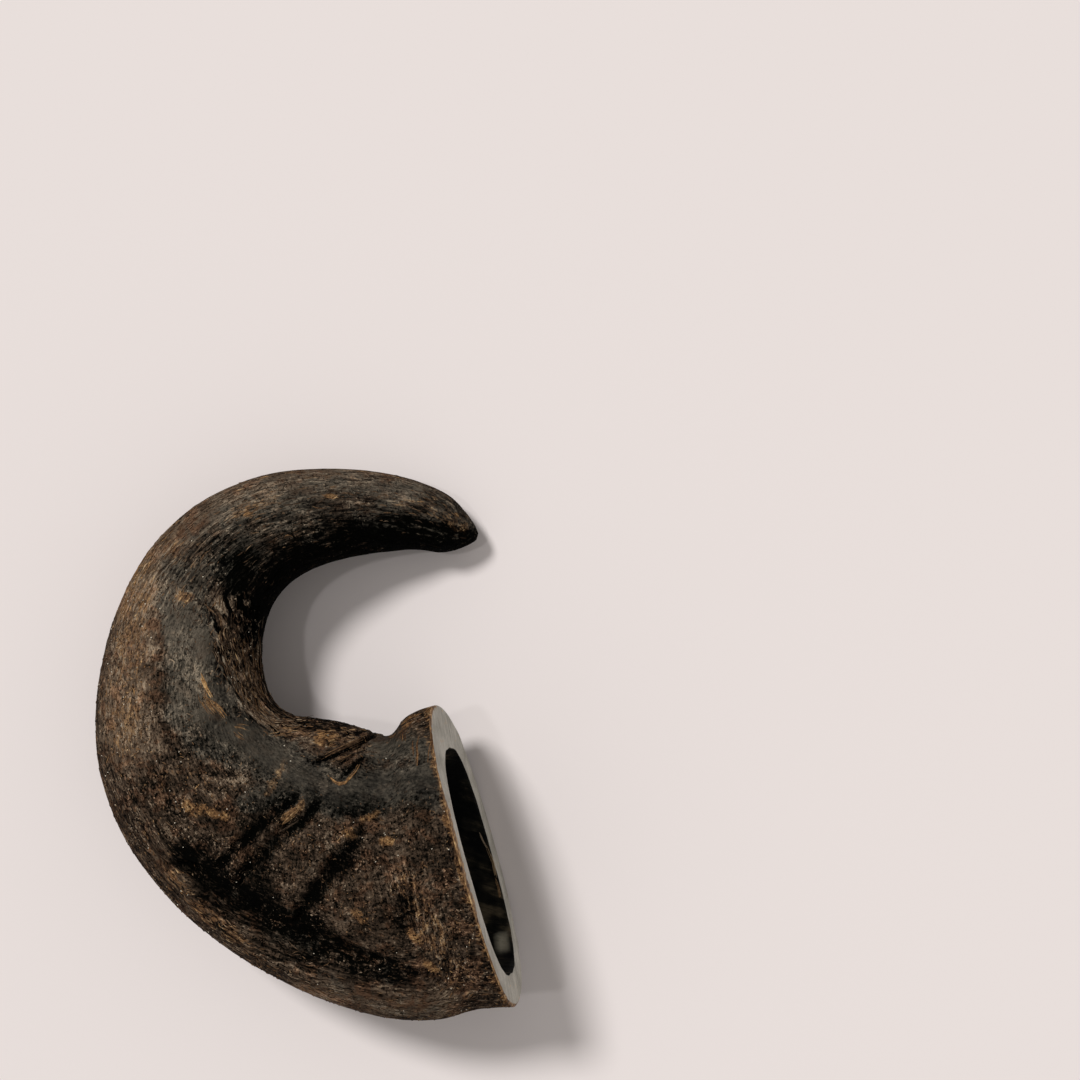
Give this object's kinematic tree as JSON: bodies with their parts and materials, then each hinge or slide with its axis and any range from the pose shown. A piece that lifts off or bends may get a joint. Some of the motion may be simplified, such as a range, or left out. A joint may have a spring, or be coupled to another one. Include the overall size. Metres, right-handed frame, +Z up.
{
  "type": "bison horn",
  "caption": "Curved hollow horn sheath lying on its side, sawn flat across its thick end and tapering to a blunt tip.",
  "frame": {"origin": "middle of the footprint box of the horn as it lies, on the surface it lies on", "axes": "+Z up from the surface, +X from the bend of the curl towards the sawn end and the tip, +Y along the footprint's long side, from the sawn end's side to the tip's side"},
  "size_m": [0.1156, 0.148, 0.0586],
  "materials": {
    "keratin": "dark brown grown keratin, rough and fibrous with tan flecks, rubbed smooth and grey along its ridges, pale grey where sawn"
  },
  "bodies": {
    "root": {"horn": "keratin"}
  },
  "joints": []
}
